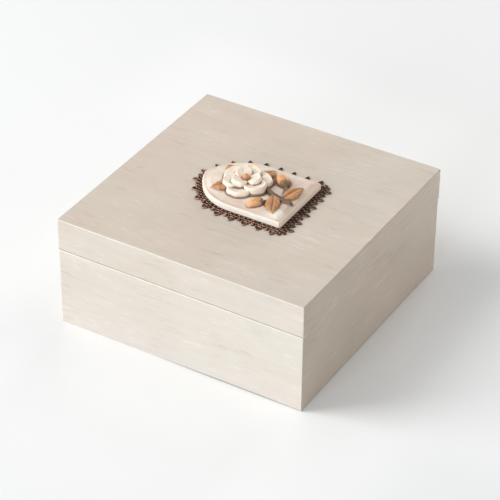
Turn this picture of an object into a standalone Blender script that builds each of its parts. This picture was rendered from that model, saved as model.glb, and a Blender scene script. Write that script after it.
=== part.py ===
# Square keepsake box with a lift-off lid. A pointed-arch plaque lies on the lid over a pierced
# metal trim, and a magnolia spray in low relief is cast with the plaque.
# Metres, +Z up. The origin is the middle of the box's underside. The front faces -Y, and the
# plaque's foot is towards +X, so its pointed end looks towards -X.

import math

import bmesh
import bpy
import numpy as np

MM = 0.001

# Box
BOX_WIDTH = 140 * MM
BOX_DEPTH = 140 * MM
BOX_HEIGHT = 62.2 * MM
LID_HEIGHT = 18.05 * MM
LID_OVERHANG = 0.3 * MM
WALL = 8 * MM
FLOOR = 5 * MM
LID_BOARD = 6 * MM
CORNER_ROUND = 0.6 * MM
EDGE_ROUND = 0.5 * MM
SEAM_ROUND = 0.35 * MM
INNER_ROUND = 0.4 * MM
ROUND_STEPS = 3

# Stepped rim that keeps the lid in place
LIP_HEIGHT = 4 * MM
LIP_THICKNESS = 3.5 * MM
LIP_CLEARANCE = 0.4 * MM
REST_GAP = 0.3 * MM

# Plaque: straight sides, then two arcs that meet in a blunt point
PLAQUE_WIDTH = 41.4 * MM
PLAQUE_LENGTH = 55.7 * MM
PLAQUE_ARCH_LENGTH = 26 * MM
PLAQUE_EDGE_HEIGHT = 3.3 * MM
PLAQUE_SWELL = 0.8 * MM
PLAQUE_SWELL_REACH = 4.0 * MM
PLAQUE_EDGE_ROUND = 0.9 * MM
PLAQUE_CORNER_ROUND = 1.0 * MM
PLAQUE_CENTRE_X = 0.15 * MM
FOOT_STEPS = 20
CORNER_STEPS = 3
SIDE_STEPS = 28
ARCH_STEPS = 36
EDGE_STEPS = 4
RELIEF_RINGS = 56
RELIEF_KEPT = 0.26

# Pierced trim under the plaque
TRIM_THICKNESS = 0.5 * MM
TRIM_GAP = 0.25 * MM
TRIM_BAND = 3.7 * MM
PICOT_HEIGHT = 3.0 * MM
PICOT_WIDTH = 2.6 * MM
PICOT_EYE_OUTSET = 4.5 * MM
PICOT_EYE_RADIUS = 0.5 * MM
PICOT_EYE_STRETCH = 2.2
SCALLOP_WIDTH = 3.6 * MM
SCALLOP_HEIGHT = 1.1 * MM
EYELET_RADIUS = 0.75 * MM
EYELET_INSET = 1.35 * MM
EYELET_SIDES = 6
PINHOLE_SIDES = 4

# Places along the trim are in hundredths of its length, from the middle of the plaque's foot.
# Runs of picots: first place, count and pitch
PICOT_RUNS = (
    (-10.36, 6, 3.98),
    (14.44, 5, 4.03),
    (34.93, 4, 4.33),
    (52.12, 4, 4.19),
    (68.84, 5, 4.03),
)
# How far the trim reaches out: place and share of its full reach
TRIM_REACH = (
    (1.5, 1.03), (9.7, 1.03), (14.4, 0.94), (34.9, 0.95), (39.5, 0.87), (44.1, 0.81), (48.2, 0.87),
    (52.3, 0.97), (60.5, 1.07), (65.1, 1.12), (76.9, 1.06), (85.2, 1.10), (89.8, 0.85), (97.5, 0.93),
)
# Half of a picot's edge, from its root to its point: share of its half width and of its height
PICOT_EDGE = ((0.62, -0.1), (1.0, 0.22), (0.74, 0.64), (0.0, 1.0))
# Half of a scallop's edge, in the same way
SCALLOP_EDGE = ((1.0, -0.4), (0.75, 0.45), (0.0, 1.0))
# Height of the scallops between picots: place and share of the full height
SCALLOP_REACH = ((9.7, 1.0), (14.4, 0.64), (51.3, 0.64), (57.5, 0.32), (86.2, 0.32), (91.3, 1.0))

# Carving: the spray is drawn in units, 41 of them across the plaque
CARVING_UNITS = 41
FLANK_SLOPE = 3.5
HEART = (3.6, -0.4)

SIDE_LIGHT_TAUPE = (0.62, 0.54, 0.45)
CAST_CREAM = (0.80, 0.72, 0.62)
DARK_BRONZE = (0.10, 0.06, 0.045)


def smooth_step(x):
    x = np.clip(x, 0, 1)
    return x * x * (3 - 2 * x)


def edge_drop(distance, rounding):
    """How far a form lies below its top face at this distance inside its outline."""
    share = np.clip(distance / rounding, 0, 1)
    shoulder = rounding * (1 - np.sqrt(1 - (1 - share) ** 2))
    return shoulder + FLANK_SLOPE * np.clip(-distance, 0, None)


def along_and_across(u, v, start, degrees):
    angle = math.radians(degrees)
    du = u - start[0]
    dv = v - start[1]
    along = du * math.cos(angle) + dv * math.sin(angle)
    across = dv * math.cos(angle) - du * math.sin(angle)
    return along, across


def egg_norm(along, across, length, width, widest, root_power, tip_power):
    """0 at an egg's middle and 1 on its outline, which runs from 0 to its length."""
    from_widest = along - widest * length
    half_length = np.where(from_widest > 0, 1 - widest, widest) * length
    power = np.where(from_widest > 0, tip_power, root_power)
    lengthwise = np.abs(from_widest / half_length) ** power
    crosswise = np.abs(across / (width / 2)) ** 2
    return np.sqrt(lengthwise + crosswise)


def egg_distance(along, across, length, width, widest, root_power, tip_power):
    """Signed distance inside the egg's outline, to first order, and the egg's norm."""
    shape = (length, width, widest, root_power, tip_power)
    step = 1e-3
    norm = egg_norm(along, across, *shape)
    slope_along = (egg_norm(along + step, across, *shape) - norm) / step
    slope_across = (egg_norm(along, across + step, *shape) - norm) / step
    slope = np.maximum(np.hypot(slope_along, slope_across), 0.25 / width)
    return (1 - norm) / slope, norm


def petal(u, v, degrees, length, width, heights, dish, twist):
    """Spoon-shaped petal from the bloom's heart; heights are at its root, middle and tip."""
    along, across = along_and_across(u, v, HEART, degrees)
    share = np.clip(along / length, 0, 1)
    across = across - twist * length * share**2
    distance, norm = egg_distance(along, across, length, width, 0.6, 1.9, 1.8)
    root, middle, tip = heights
    z = (1 - share) ** 2 * root + 2 * share * (1 - share) * middle + share**2 * tip
    z = z + dish * np.clip(norm, 0, 1) ** 3 * smooth_step(share / 0.5)
    return z - edge_drop(distance, 0.45)


def leaf(u, v, start, degrees, length, width, bend, heights):
    """Pointed leaf with an arched blade on each side of its sunk midrib."""
    along, across = along_and_across(u, v, start, degrees)
    share = np.clip(along / length, 0, 1)
    across = across - bend * length * np.sin(math.pi / 2 * share) ** 2
    half = width / 2 * np.sin(math.pi * share**0.85)
    distance = 0.85 * (half - np.abs(across))
    distance = np.where(along < 0, -np.hypot(along, across), distance)
    distance = np.where(along > length, -np.hypot(along - length, across), distance)
    side_share = np.clip(np.abs(across) / np.maximum(half, 1e-3), 0, 1)
    root, middle, tip = heights
    end = np.where(share < 0.5, root, tip)
    z = end + (middle - end) * np.sin(math.pi * share)
    z = z + 0.75 * np.sin(math.pi * side_share**0.8) * half / (width / 2)
    return z - edge_drop(distance, 0.4)


def bud(u, v, start, degrees, length, width, height):
    """Egg-shaped bud in two low bracts at its foot."""
    along, across = along_and_across(u, v, start, degrees)
    distance, norm = egg_distance(along, across, length, width, 0.4, 2.1, 1.75)
    z = 0.2 + height * np.sqrt(1 - np.clip(norm, 0, 1) ** 2)
    z = z - FLANK_SLOPE * np.clip(-distance, 0, None)
    for side in (-1, 1):
        along, across = along_and_across(u, v, start, degrees + 24 * side)
        size = (0.5 * length, 0.5 * width)
        distance, norm = egg_distance(along, across, *size, 0.35, 2.0, 1.5)
        bract = 0.3 + 0.82 * height * np.sqrt(1 - 0.75 * np.clip(norm, 0, 1) ** 2)
        z = np.maximum(z, bract - edge_drop(distance, 0.35))
    return z


def twig(u, v, start, pull, end, thickness, lift):
    """Round twig along a quadratic curve from start to end, pulled towards a third point."""
    steps = np.linspace(0, 1, 25)[:, None]
    curve = (1 - steps) ** 2 * np.array(start)
    curve = curve + 2 * steps * (1 - steps) * np.array(pull) + steps**2 * np.array(end)
    distance = np.full(np.shape(u), np.inf)
    for a, b in zip(curve[:-1], curve[1:]):
        run = b - a
        share = np.clip(((u - a[0]) * run[0] + (v - a[1]) * run[1]) / (run @ run), 0, 1)
        gap = np.hypot(u - a[0] - share * run[0], v - a[1] - share * run[1])
        distance = np.minimum(distance, gap)
    radius = thickness / 2
    crown = np.sqrt(np.clip(radius**2 - distance**2, 0, None))
    return lift + crown - FLANK_SLOPE * np.clip(distance - radius, 0, None)


def cone(u, v, radius, foot, height):
    """Domed seed cone in the bloom's heart."""
    distance = np.hypot(u - HEART[0], v - HEART[1])
    dome = height * np.sqrt(np.clip(1 - (distance / radius) ** 2, 0, None))
    return foot + dome - FLANK_SLOPE * np.clip(distance - radius, 0, None)


def relief_height(u, v):
    """Height of the carving above the plaque's ground, in units; u runs from foot to point."""
    forms = [
        twig(u, v, (-24.2, -4.6), (-18.0, -5.4), (-8.0, 0.0), 2.5, 0.5),
        twig(u, v, (-19.5, -4.9), (-17.5, 3.0), (-14.5, 7.6), 1.7, 0.5),
        twig(u, v, (-15.0, -4.0), (-15.0, -8.0), (-12.2, -11.0), 1.7, 0.5),
        leaf(u, v, (-18.5, -4.4), 116, 15.6, 7.0, -0.16, (0.6, 1.2, 0.5)),
        leaf(u, v, (-13.2, -3.0), -128, 15.8, 7.2, 0.14, (0.7, 1.3, 0.6)),
        leaf(u, v, (7.0, 1.5), 24, 15.4, 8.0, 0.10, (0.4, 1.2, 0.6)),
        leaf(u, v, (7.0, -3.0), -38, 13.8, 7.8, -0.10, (0.4, 1.2, 0.6)),
        leaf(u, v, (0.5, 4.0), 102, 13.6, 7.2, 0.10, (0.4, 1.2, 0.6)),
        bud(u, v, (-14.9, 7.0), 42, 10.6, 6.2, 3.5),
        bud(u, v, (-12.6, -10.6), -46, 9.0, 5.4, 3.0),
    ]
    for turn, length in zip((18, 138, 262), (13.4, 12.8, 13.0)):
        forms.append(petal(u, v, turn, length, 12.2, (2.0, 1.9, 1.9), 0.9, 0.05))
    for turn, length in zip((78, 202, 322), (11.6, 12.0, 11.2)):
        forms.append(petal(u, v, turn, length, 10.8, (2.4, 2.7, 3.1), 1.0, -0.05))
    for turn, length in zip((44, 164, 284), (7.8, 7.4, 7.9)):
        forms.append(petal(u, v, turn, length, 7.8, (2.6, 3.9, 5.2), 0.6, 0.06))
    forms.append(cone(u, v, 1.9, 3.0, 2.7))
    return np.clip(np.max(forms, axis=0), 0, None)


def ground_swell(x, y):
    """Height of the plaque's ground above its shoulder, where it swells towards the middle."""
    radius, spring_x, _ = arch_sizes()
    from_foot = PLAQUE_CENTRE_X + PLAQUE_LENGTH / 2 - x
    from_side = PLAQUE_WIDTH / 2 - np.abs(y)
    from_arc = radius - np.hypot(x - spring_x, np.abs(y) + radius - PLAQUE_WIDTH / 2)
    nearest = np.minimum(from_foot, np.where(x < spring_x, from_arc, from_side))
    return PLAQUE_SWELL * smooth_step((nearest - PLAQUE_EDGE_ROUND) / PLAQUE_SWELL_REACH)


def arch_sizes():
    """Radius of the plaque's side arcs, the x where they start, and the turn of each."""
    half_turn = math.atan2(PLAQUE_WIDTH / 2, PLAQUE_ARCH_LENGTH)
    radius = PLAQUE_ARCH_LENGTH / math.sin(2 * half_turn)
    spring_x = PLAQUE_CENTRE_X - PLAQUE_LENGTH / 2 + PLAQUE_ARCH_LENGTH
    return radius, spring_x, 2 * half_turn


def arch_loop(inset):
    """Outline of the plaque at this inset, with as many points whatever the inset is."""
    radius, spring_x, turn = arch_sizes()
    foot_x = PLAQUE_CENTRE_X + PLAQUE_LENGTH / 2
    half_width = PLAQUE_WIDTH / 2
    corner_x = foot_x - PLAQUE_CORNER_ROUND
    corner_y = PLAQUE_CORNER_ROUND - half_width
    corner_radius = PLAQUE_CORNER_ROUND - inset
    rise = radius - half_width
    turn = math.acos(rise / (radius - inset))
    loop = []
    for step in range(FOOT_STEPS):
        loop.append((foot_x - inset, corner_y * step / FOOT_STEPS))
    for step in range(CORNER_STEPS):
        angle = math.pi / 2 * step / CORNER_STEPS
        x = corner_x + corner_radius * math.cos(angle)
        loop.append((x, corner_y - corner_radius * math.sin(angle)))
    for step in range(SIDE_STEPS):
        x = corner_x + (spring_x - corner_x) * step / SIDE_STEPS
        loop.append((x, inset - half_width))
    for step in range(ARCH_STEPS + 1):
        angle = turn * step / ARCH_STEPS
        x = spring_x - (radius - inset) * math.sin(angle)
        y = rise - (radius - inset) * math.cos(angle)
        loop.append((x, y if step < ARCH_STEPS else 0.0))
    mirrored = [(x, -y) for x, y in reversed(loop[1:-1])]
    return loop + mirrored


def half_outline():
    """Runs of the plaque's outline from its foot's middle to its point, at -Y, each as its length
    along the trim and a function that gives the point and outward normal for a share of it."""
    radius, spring_x, turn = arch_sizes()
    foot_x = PLAQUE_CENTRE_X + PLAQUE_LENGTH / 2
    tip_x = PLAQUE_CENTRE_X - PLAQUE_LENGTH / 2
    half_width = PLAQUE_WIDTH / 2
    corner_x = foot_x - PLAQUE_CORNER_ROUND
    corner_y = PLAQUE_CORNER_ROUND - half_width
    quarter = math.pi / 2

    def foot(share):
        return (foot_x, corner_y * share), (1.0, 0.0)

    def corner(share):
        normal = (math.cos(quarter * share), -math.sin(quarter * share))
        x = corner_x + PLAQUE_CORNER_ROUND * normal[0]
        return (x, corner_y + PLAQUE_CORNER_ROUND * normal[1]), normal

    def side(share):
        return (corner_x + (spring_x - corner_x) * share, -half_width), (0.0, -1.0)

    def arc(share):
        normal = (-math.sin(turn * share), -math.cos(turn * share))
        point = (spring_x + radius * normal[0], radius - half_width + radius * normal[1])
        return point, normal

    def tip(share):
        angle = turn + (quarter - turn) * share
        return (tip_x, 0.0), (-math.sin(angle), -math.cos(angle))

    return [
        (-corner_y, foot),
        (quarter * (PLAQUE_CORNER_ROUND + TRIM_BAND), corner),
        (corner_x - spring_x, side),
        (turn * (radius + TRIM_BAND), arc),
        ((quarter - turn) * TRIM_BAND, tip),
    ]


def trim_length():
    return 2 * sum(length for length, _ in half_outline())


def share_at(travel, table):
    """Share that a table of places and shares gives, this far along the trim."""
    places, shares = zip(*table)
    return np.interp(100 * travel / trim_length(), places, shares, period=100)


def trim_point(travel, outset):
    """Point beside the plaque's outline, this far along the trim from the foot's middle."""
    runs = half_outline()
    whole = trim_length()
    outset *= share_at(travel, TRIM_REACH)
    travel = travel % whole
    mirror = travel > whole / 2
    left = whole - travel if mirror else travel
    for length, at in runs:
        point, normal = at(min(left / length, 1.0))
        if left <= length:
            break
        left -= length
    x = point[0] + outset * normal[0]
    y = point[1] + outset * normal[1]
    return x, -y if mirror else y


def bump_edge(middle, half_width, foot, height, half_edge):
    """Trim's outer edge round one picot or scallop, as travel and outset."""
    points = [(-half_width * across, foot + height * up) for across, up in half_edge]
    points += [(half_width * across, foot + height * up) for across, up in half_edge[-2::-1]]
    return [(middle + travel, outset) for travel, outset in points]


def eyelet(travel, outset, radius, sides=EYELET_SIDES, stretch=1.0):
    """Hole through the trim, as points; stretch makes it longer outwards."""
    points = []
    for corner in range(sides):
        angle = 2 * math.pi * corner / sides
        reach = outset + radius * stretch * math.cos(angle)
        points.append(trim_point(travel + radius * math.sin(angle), reach))
    return points


def clear_scene():
    for old in list(bpy.data.objects):
        bpy.data.objects.remove(old, do_unlink=True)


def paint(name, colour, roughness, metallic):
    material = bpy.data.materials.new(name)
    material.use_nodes = True
    shader = material.node_tree.nodes["Principled BSDF"]
    shader.inputs["Base Color"].default_value = (*colour, 1.0)
    shader.inputs["Roughness"].default_value = roughness
    shader.inputs["Metallic"].default_value = metallic
    material.diffuse_color = (*colour, 1.0)
    return material


def add_object(name, data, material):
    data.materials.append(material)
    made = bpy.data.objects.new(name, data)
    bpy.context.scene.collection.objects.link(made)
    return made


def rounded_rectangle(inset):
    """Outline of the box at this inset from the lid's outer sides, with rounded corners."""
    radius = max(CORNER_ROUND - inset, INNER_ROUND)
    half_x = BOX_WIDTH / 2 - inset - radius
    half_y = BOX_DEPTH / 2 - inset - radius
    points = []
    for quarter, (sign_x, sign_y) in enumerate(((1, 1), (-1, 1), (-1, -1), (1, -1))):
        for step in range(ROUND_STEPS + 1):
            angle = math.pi / 2 * (quarter + step / ROUND_STEPS)
            x = sign_x * half_x + radius * math.cos(angle)
            y = sign_y * half_y + radius * math.sin(angle)
            points.append((x, y))
    return points


def rounded_edge(inset, z, z_sign, radius):
    """Profile points, upwards, of a rounded edge whose sharp corner would be at (inset, z)."""
    points = []
    for step in range(ROUND_STEPS + 1):
        angle = math.pi / 2 * step / ROUND_STEPS
        inward = radius * (1 - math.sin(angle))
        away = radius * (1 - math.cos(angle))
        points.append((inset + inward, z + z_sign * away))
    return sorted(points, key=lambda point: point[1])


def box_shell(name, profile, material):
    """Closed shell whose walls follow a profile of (inset, z), capped at both ends."""
    bm = bmesh.new()
    loops = []
    for inset, z in profile:
        loops.append([bm.verts.new((x, y, z)) for x, y in rounded_rectangle(inset)])
    for lower, upper in zip(loops[:-1], loops[1:]):
        for k in range(len(lower)):
            n = (k + 1) % len(lower)
            bm.faces.new((lower[k], lower[n], upper[n], upper[k]))
    bm.faces.new(loops[0])
    bm.faces.new(loops[-1])
    bmesh.ops.recalc_face_normals(bm, faces=bm.faces)
    mesh = bpy.data.meshes.new(name)
    bm.to_mesh(mesh)
    bm.free()
    return add_object(name, mesh, material)


def box_base(material):
    rim_z = BOX_HEIGHT - LID_HEIGHT
    inner = LID_OVERHANG + WALL
    lip_outer = inner - LIP_THICKNESS
    profile = rounded_edge(LID_OVERHANG, 0.0, 1, EDGE_ROUND)
    profile += rounded_edge(LID_OVERHANG, rim_z, -1, SEAM_ROUND)
    profile += [
        (lip_outer, rim_z),
        (lip_outer, rim_z + LIP_HEIGHT),
        (inner, rim_z + LIP_HEIGHT),
        (inner, FLOOR),
    ]
    return box_shell("box_base", profile, material)


def box_lid(material):
    rim_z = BOX_HEIGHT - LID_HEIGHT + REST_GAP
    inner = LID_OVERHANG + WALL
    rabbet = inner - LIP_THICKNESS - LIP_CLEARANCE
    rabbet_top = BOX_HEIGHT - LID_HEIGHT + LIP_HEIGHT + REST_GAP
    profile = [
        (inner, BOX_HEIGHT - LID_BOARD),
        (inner, rabbet_top),
        (rabbet, rabbet_top),
        (rabbet, rim_z),
    ]
    profile += rounded_edge(0.0, rim_z, 1, SEAM_ROUND)
    profile += rounded_edge(0.0, BOX_HEIGHT, -1, EDGE_ROUND)
    return box_shell("box_lid", profile, material)


def lace_trim(material):
    """Flat pierced plate: its plain middle is under the plaque, its band and picots show."""
    picot = (PICOT_WIDTH / 2, TRIM_BAND, PICOT_HEIGHT, PICOT_EDGE)
    edge = []
    outlines = []
    places = []
    whole = trim_length()
    for start, count, pitch in PICOT_RUNS:
        places += [whole * (start + number * pitch) / 100 for number in range(count)]
    for place, following in zip(places, places[1:] + [places[0] + whole]):
        gap = following - place
        middle = place + gap / 2
        height = SCALLOP_HEIGHT * share_at(middle, SCALLOP_REACH)
        scallop = (SCALLOP_WIDTH / 2, TRIM_BAND, height, SCALLOP_EDGE)
        edge += bump_edge(place, *picot) + bump_edge(middle, *scallop)
        outlines.append(
            eyelet(place, PICOT_EYE_OUTSET, PICOT_EYE_RADIUS, stretch=PICOT_EYE_STRETCH)
        )
        outlines.append(eyelet(middle, TRIM_BAND - EYELET_INSET, EYELET_RADIUS))
        for share in (0.25, 0.75):
            pinhole = (place + share * gap, EYELET_INSET, EYELET_RADIUS, PINHOLE_SIDES)
            outlines.append(eyelet(*pinhole))
    outlines.append([trim_point(travel, outset) for travel, outset in edge])
    curve = bpy.data.curves.new("lace_trim", "CURVE")
    curve.dimensions = "2D"
    curve.fill_mode = "BOTH"
    curve.extrude = TRIM_THICKNESS / 2
    for outline in outlines:
        spline = curve.splines.new("POLY")
        spline.points.add(len(outline) - 1)
        for point, (x, y) in zip(spline.points, outline):
            point.co = (x, y, 0.0, 1.0)
        spline.use_cyclic_u = True
    made = add_object("lace_trim", curve, material)
    made.location.z = BOX_HEIGHT + TRIM_GAP + TRIM_THICKNESS / 2
    return made


def plaque(material):
    """Cast plaque: rings of points run from the bloom's heart out to the arched outline. Its ground
    swells a little towards the middle."""
    unit = PLAQUE_WIDTH / CARVING_UNITS
    bottom = BOX_HEIGHT + TRIM_GAP + TRIM_THICKNESS + TRIM_GAP
    top = bottom + PLAQUE_EDGE_HEIGHT
    heart = np.array((PLAQUE_CENTRE_X - HEART[0] * unit, HEART[1] * unit))
    shoulder = np.array(arch_loop(PLAQUE_EDGE_ROUND))
    bm = bmesh.new()

    def add_ring(points, heights):
        return [bm.verts.new((x, y, z)) for (x, y), z in zip(points, heights)]

    def carved(points):
        x, y = points.T
        relief = unit * relief_height((PLAQUE_CENTRE_X - x) / unit, y / unit)
        return top + ground_swell(x, y) + relief

    crown = bm.verts.new((*heart, float(carved(heart[None, :])[0])))
    rings = []
    for number in range(1, RELIEF_RINGS + 1):
        points = heart + (shoulder - heart) * number / RELIEF_RINGS
        rings.append(add_ring(points, carved(points)))
    for step in range(1, EDGE_STEPS + 1):
        angle = math.pi / 2 * step / EDGE_STEPS
        inset = PLAQUE_EDGE_ROUND * (1 - math.sin(angle))
        height = top - PLAQUE_EDGE_ROUND * (1 - math.cos(angle))
        loop = arch_loop(inset)
        rings.append(add_ring(loop, [height] * len(loop)))
    foot = arch_loop(0.0)
    rings.append(add_ring(foot, [bottom] * len(foot)))
    count = len(foot)
    for k in range(count):
        bm.faces.new((crown, rings[0][k], rings[0][(k + 1) % count]))
    for inner, outer in zip(rings[:-1], rings[1:]):
        for k in range(count):
            n = (k + 1) % count
            bm.faces.new((inner[k], outer[k], outer[n], inner[n]))
    bm.faces.new(rings[-1])
    bmesh.ops.recalc_face_normals(bm, faces=bm.faces)
    mesh = bpy.data.meshes.new("plaque")
    bm.to_mesh(mesh)
    bm.free()
    mesh.shade_smooth()
    mesh.set_sharp_from_angle(angle=math.radians(40))
    made = add_object("plaque", mesh, material)
    thin = made.modifiers.new("thin_the_flat_areas", "DECIMATE")
    thin.ratio = RELIEF_KEPT
    return made


def main():
    clear_scene()
    painted = paint("painted_board", SIDE_LIGHT_TAUPE, 0.55, 0.0)
    cast = paint("cast_stone", CAST_CREAM, 0.5, 0.0)
    bronze = paint("dark_bronze", DARK_BRONZE, 0.45, 0.85)
    box_base(painted)
    box_lid(painted)
    lace_trim(bronze)
    plaque(cast)


main()
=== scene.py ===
# Looks of the square keepsake box: brushed taupe paint on its boards, a dark bronze lace border and
# a hand-painted cast plaque with a magnolia spray in relief. Metres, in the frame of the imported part.

import math

import bpy
import numpy as np
from mathutils import Matrix, Vector


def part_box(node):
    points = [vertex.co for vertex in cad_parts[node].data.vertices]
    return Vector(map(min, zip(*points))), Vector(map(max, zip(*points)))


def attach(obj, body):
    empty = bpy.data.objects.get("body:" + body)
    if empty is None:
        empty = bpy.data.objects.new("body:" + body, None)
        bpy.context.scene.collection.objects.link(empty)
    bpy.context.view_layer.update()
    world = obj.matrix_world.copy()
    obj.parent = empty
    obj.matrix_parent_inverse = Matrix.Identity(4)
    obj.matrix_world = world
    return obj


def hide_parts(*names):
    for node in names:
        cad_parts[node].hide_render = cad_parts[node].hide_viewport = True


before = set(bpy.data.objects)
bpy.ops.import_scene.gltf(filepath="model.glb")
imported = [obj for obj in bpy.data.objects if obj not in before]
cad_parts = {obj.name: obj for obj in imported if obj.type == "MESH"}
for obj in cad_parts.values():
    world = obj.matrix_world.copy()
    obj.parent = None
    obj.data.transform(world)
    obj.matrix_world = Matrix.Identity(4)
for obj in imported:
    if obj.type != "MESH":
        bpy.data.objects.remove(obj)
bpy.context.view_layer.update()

MM = 0.001

# Camera, fitted to the photograph: where it looks, how far off it is, and its turn, rise and roll
CAMERA_TARGET = Vector((0.001615, -0.00433, 0.0310))
CAMERA_DISTANCE = 1.1687
CAMERA_AZIMUTH = 30.547
CAMERA_ELEVATION = 35.063
CAMERA_ROLL = 0.677
CAMERA_LENS = 166.336
CAMERA_SENSOR = 36.0
CAMERA_REACH = 20.0

# Studio: for each soft light its azimuth and elevation in degrees, height, power and colour
SOFTBOXES = {
    "key": (-60, 40, 1.8, 46.4, (1.0, 1.0, 1.0)),
    "front_fill": (0, 12, 1.05, 22.7, (0.88, 0.94, 1.0)),
    "right_fill": (100, 8, 0.65, 9.0, (1.0, 0.95, 0.90)),
    "back_fill": (180, 12, 1.05, 26.3, (1.0, 0.99, 0.97)),
}
SOFTBOX_WIDTH = 1.2
SOFTBOX_DISTANCE = 2.4
SOFTBOX_TARGET = Vector((0, 0, 0.04))
WORLD_STRENGTH = 0.40
FLOOR_SIZE = 8.0

# Plaque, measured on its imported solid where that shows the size
PLAQUE_LOW, PLAQUE_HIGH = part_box("plaque")
PLAQUE_WIDTH = PLAQUE_HIGH.y - PLAQUE_LOW.y
PLAQUE_LENGTH = PLAQUE_HIGH.x - PLAQUE_LOW.x
PLAQUE_CENTRE_X = (PLAQUE_HIGH.x + PLAQUE_LOW.x) / 2
PLAQUE_BOTTOM = PLAQUE_LOW.z
PLAQUE_ARCH_LENGTH = 26 * MM
PLAQUE_EDGE_HEIGHT = 3.3 * MM
PLAQUE_SWELL = 0.8 * MM
PLAQUE_SWELL_REACH = 4.0 * MM
PLAQUE_EDGE_ROUND = 0.9 * MM
PLAQUE_CORNER_ROUND = 1.0 * MM
FOOT_STRIP = 1.9 * MM
FOOT_STRIP_DROP = 0.22 * MM
FOOT_GROOVE = 0.20 * MM
FOOT_GROOVE_PLACE = 0.30 * MM
FOOT_GROOVE_WIDTH = 0.22 * MM
WALL_GROOVES = (3, 8)
UNDERSIDE_INSET = 0.12 * MM
GRID_STEP = 0.21 * MM
CORNER_COLUMNS = 9
ARC_COLUMNS = 170
EDGE_STEPS = 7
WALL_STEPS = 14

# Relief, in carving units, of which the plaque's width has 41. Each kind of form but the ground
# has a paint of its own, and the petals spring from the heart
CARVING_UNITS = 41
HEART = (3.6, -0.4)
FLANK_SLOPE = 3.5
FORM_NAMES = ("ground", "twig", "leaf", "bud", "bract", "petal", "cone")
FORM_BLEND = 0.05
LATTICE = 64

# Lid: its top, its lower edge and the gap below that
LID_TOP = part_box("box_lid")[1].z
SEAM_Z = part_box("box_lid")[0].z
SEAM_GAP = 0.3 * MM

# Lace: a border of rings on a dark backing. Places along it are in hundredths of its length, from
# the middle of the plaque's foot, and each run of picots has its first place, count and pitch
PICOT_RUNS = (
    (-10.36, 6, 3.98), (14.44, 5, 4.03), (34.93, 4, 4.33), (52.12, 4, 4.19), (68.84, 5, 4.03),
)
# Lengths along the lace are taken this far out from the plaque
TRIM_BAND = 3.7 * MM
# How far the lace reaches out: place and share of its full reach
TRIM_REACH = (
    (1.5, 1.03), (9.7, 1.03), (14.4, 0.94), (34.9, 0.95), (39.5, 0.87), (44.1, 0.81), (48.2, 0.87),
    (52.3, 0.97), (60.5, 1.07), (65.1, 1.12), (76.9, 1.06), (85.2, 1.10), (89.8, 0.85), (97.5, 0.93),
)
# How far out the small loops between picots lie: place and outset in mm
SMALL_LOOPS = ((9.7, 3.9), (14.4, 3.3), (51.3, 3.3), (57.5, 2.5), (86.2, 2.5), (91.3, 3.9))
# Width of the picots: place and share of their full width
PICOT_WIDTHS = (
    (10.0, 0.90), (14.4, 0.98), (18.5, 1.14), (39, 1.16), (44, 1.00), (52, 0.95), (60, 0.80),
    (69, 0.70), (73, 0.62), (81, 0.60), (85.5, 0.95), (89.6, 0.90),
)
# How far out the middle of the backing lies: place and outset in mm
BACKING_MIDDLE = ((9.7, 1.6), (14.4, 1.15), (86.2, 1.15), (91.3, 1.6))
RINGS_PER_PICOT = 3
RING_GAP = 0.28 * MM
RING_HALF_REACH = 0.82 * MM
LOOP_POINTS = 12
LOOP_HALF_REACH = 0.80 * MM
LOOP_HALF_TRAVEL = 1.05 * MM
# Gaps between picots at the plaque's corners, with two small loops in each
CORNER_GAPS = (5, 23)
CORNER_LOOP_SHARES = (0.38, 0.64)
CORNER_LOOP_HALF_TRAVEL = 0.72 * MM
CORNER_LOOP_OUTSET = 4.2 * MM
BEAD_OUTSET = 1.75 * MM
BEAD_RADIUS = 0.40 * MM
BACKING_HALF_WIDTH = 1.9 * MM
BACKING_HALF_HEIGHT = 0.08 * MM
RING_ROWS = ((0.90 * MM, 0.0), (2.55 * MM, 0.5))
STRAND_HALF_WIDTH = 0.24 * MM
STRAND_HALF_HEIGHT = 0.36 * MM
STRAND_MIDDLE_Z = LID_TOP + 0.45 * MM
BACKING_Z = LID_TOP + 0.14 * MM
WEB_Z = LID_TOP + 0.38 * MM
WEB_THICKNESS = 0.16 * MM
PICOT_REACH = (2.9 * MM, 6.37 * MM)
PICOT_HALF_WIDTH = 1.35 * MM
PICOT_STRAND = 0.34 * MM
PICOT_STEPS = 12
STRAND_SIDES = 8
SHARP_ANGLE = math.radians(60)

# Painted light and shade: tints of the paint at the low and the high end of each face, along
# its strokes
TOP_PAINTED_SHADING = ((0.995, 0.97, 0.955, 1.0), (0.970, 0.970, 0.960, 1.0))
RIGHT_PAINTED_SHADING = ((0.755, 0.725, 0.695, 1.0), (0.84, 0.79, 0.755, 1.0))
FRONT_PAINTED_SHADING = {
    "box_base": ((0.950, 0.97, 0.98, 1.0), (0.995, 1.03, 1.04, 1.0)),
    "box_lid": ((0.925, 0.93, 0.93, 1.0), (0.970, 0.98, 1.0, 1.0)),
}


def linear(colour):
    """sRGB triple from 0 to 255 as the linear values that shaders take. All else passes as it is."""
    if not isinstance(colour, tuple) or len(colour) != 3:
        return colour

    def channel(value):
        value /= 255
        return value / 12.92 if value <= 0.04045 else ((value + 0.055) / 1.055) ** 2.4

    return (*map(channel, colour), 1.0)


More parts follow.
